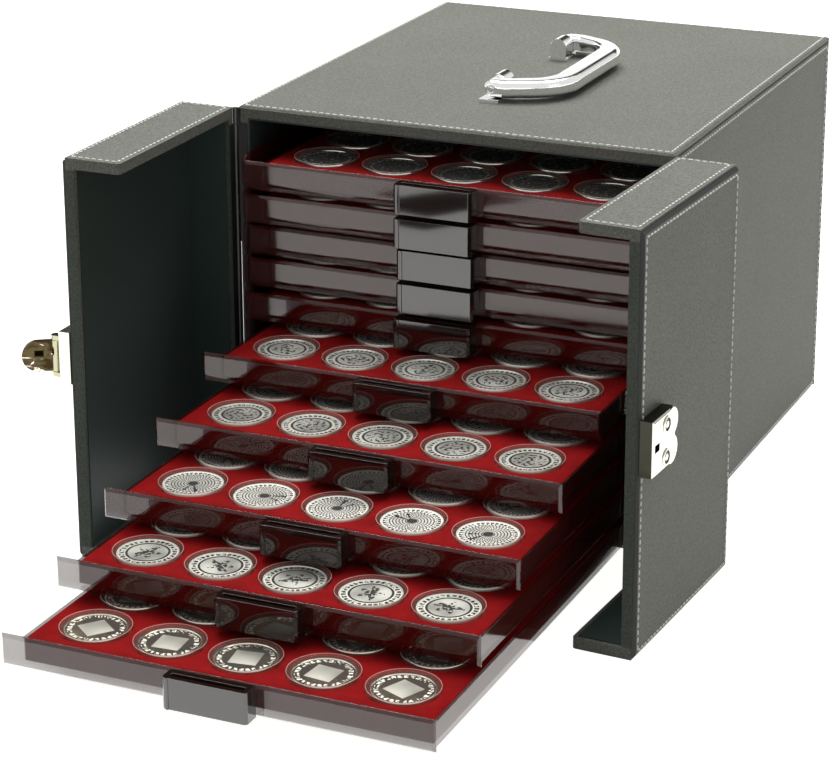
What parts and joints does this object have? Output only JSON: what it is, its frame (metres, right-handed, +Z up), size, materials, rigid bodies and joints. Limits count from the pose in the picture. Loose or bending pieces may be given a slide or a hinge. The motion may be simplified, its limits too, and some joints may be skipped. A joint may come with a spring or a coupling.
{
  "type": "coin case",
  "caption": "Carrying case for coins, wrapped in grey leatherette, with two half-lid doors, a folding handle, a hasp lock and a stack of smoked plastic drawers with velvet inlays.",
  "frame": {"origin": "centre of the case's underside, where it rests on the table", "axes": "+Z up, the drawers pull out along -Y towards the user, +X to the user's right"},
  "size_m": [0.3648, 0.5972, 0.2451],
  "materials": {
    "leatherette": "fine pebble grain, dark grey",
    "satin_lining": "smooth satin, black green",
    "smoked_plastic": "clear, smoke tinted, polished",
    "red_velvet": "short pile velvet, bright red",
    "chrome": "polished",
    "hinge_metal": "satin black",
    "platform_board": "black, matte"
  },
  "bodies": {
    "case": {"base_board": "leatherette", "top_board": "leatherette", "top_panel": "leatherette", "left_side_board": "leatherette", "right_side_board": "leatherette", "back_board": "leatherette", "left_side_panel": "leatherette", "right_side_panel": "leatherette", "back_panel": "leatherette", "case_lining": "satin_lining", "stack_platform": "platform_board", "hinge_case_leaves": "hinge_metal", "handle_feet": "chrome", "unit_frame_01": "smoked_plastic", "unit_frame_02": "smoked_plastic", "unit_frame_03": "smoked_plastic", "unit_frame_04": "smoked_plastic", "unit_frame_05": "smoked_plastic", "unit_frame_06": "smoked_plastic", "unit_frame_07": "smoked_plastic", "unit_frame_08": "smoked_plastic", "unit_frame_09": "smoked_plastic", "unit_frame_10": "smoked_plastic"},
    "left_door": {"left_door_shell": "leatherette", "left_door_panel": "leatherette", "left_door_lining": "satin_lining", "left_hinge_door_leaf": "hinge_metal", "lock_case": "chrome"},
    "right_door": {"right_door_shell": "leatherette", "right_door_panel": "leatherette", "right_door_lining": "satin_lining", "right_hinge_door_leaf": "hinge_metal", "keeper": "chrome"},
    "hasp": {"hasp": "chrome"},
    "handle": {"handle_bail": "chrome"},
    "drawer_01": {"tray_01": "smoked_plastic", "inlay_01": "red_velvet"},
    "drawer_02": {"tray_02": "smoked_plastic", "inlay_02": "red_velvet"},
    "drawer_03": {"tray_03": "smoked_plastic", "inlay_03": "red_velvet"},
    "drawer_04": {"tray_04": "smoked_plastic", "inlay_04": "red_velvet"},
    "drawer_05": {"tray_05": "smoked_plastic", "inlay_05": "red_velvet"},
    "drawer_06": {"tray_06": "smoked_plastic", "inlay_06": "red_velvet"},
    "drawer_07": {"tray_07": "smoked_plastic", "inlay_07": "red_velvet"},
    "drawer_08": {"tray_08": "smoked_plastic", "inlay_08": "red_velvet"},
    "drawer_09": {"tray_09": "smoked_plastic", "inlay_09": "red_velvet"},
    "drawer_10": {"tray_10": "smoked_plastic", "inlay_10": "red_velvet"}
  },
  "joints": [
    {"name": "left_door_hinge", "type": "hinge", "parent": "case", "child": "left_door", "pos_m": [-0.1318, -0.1486, 0.11575], "axis": [0, 0, -1], "range_deg": [-15, 85]},
    {"name": "right_door_hinge", "type": "hinge", "parent": "case", "child": "right_door", "pos_m": [0.1318, -0.1486, 0.11575], "axis": [0, 0, 1], "range_deg": [-12, 88]},
    {"name": "hasp_hinge", "type": "hinge", "parent": "left_door", "child": "hasp", "pos_m": [-0.1782, -0.2764, 0.117], "axis": [0, 0, -1], "range_deg": [-58, 60]},
    {"name": "handle_hinge", "type": "hinge", "parent": "case", "child": "handle", "pos_m": [-0.002, -0.019, 0.2389], "axis": [0, -1, 0], "range_deg": [0, 180]},
    {"name": "drawer_01_slide", "type": "slide", "parent": "case", "child": "drawer_01", "axis": [0, -1, 0], "range_m": [-0.00371, 0.27208]},
    {"name": "drawer_02_slide", "type": "slide", "parent": "case", "child": "drawer_02", "axis": [0, -1, 0], "range_m": [-0.00419, 0.27161]},
    {"name": "drawer_03_slide", "type": "slide", "parent": "case", "child": "drawer_03", "axis": [0, -1, 0], "range_m": [0, 0.27579]},
    {"name": "drawer_04_slide", "type": "slide", "parent": "case", "child": "drawer_04", "axis": [0, -1, 0], "range_m": [-0.0008, 0.27499]},
    {"name": "drawer_05_slide", "type": "slide", "parent": "case", "child": "drawer_05", "axis": [0, -1, 0], "range_m": [-0.0052, 0.2706]},
    {"name": "drawer_06_slide", "type": "slide", "parent": "case", "child": "drawer_06", "axis": [0, -1, 0], "range_m": [-0.05869, 0.21711]},
    {"name": "drawer_07_slide", "type": "slide", "parent": "case", "child": "drawer_07", "axis": [0, -1, 0], "range_m": [-0.11449, 0.1613]},
    {"name": "drawer_08_slide", "type": "slide", "parent": "case", "child": "drawer_08", "axis": [0, -1, 0], "range_m": [-0.17119, 0.1046]},
    {"name": "drawer_09_slide", "type": "slide", "parent": "case", "child": "drawer_09", "axis": [0, -1, 0], "range_m": [-0.22129, 0.0545]},
    {"name": "drawer_10_slide", "type": "slide", "parent": "case", "child": "drawer_10", "axis": [0, -1, 0], "range_m": [-0.27579, 0]}
  ]
}
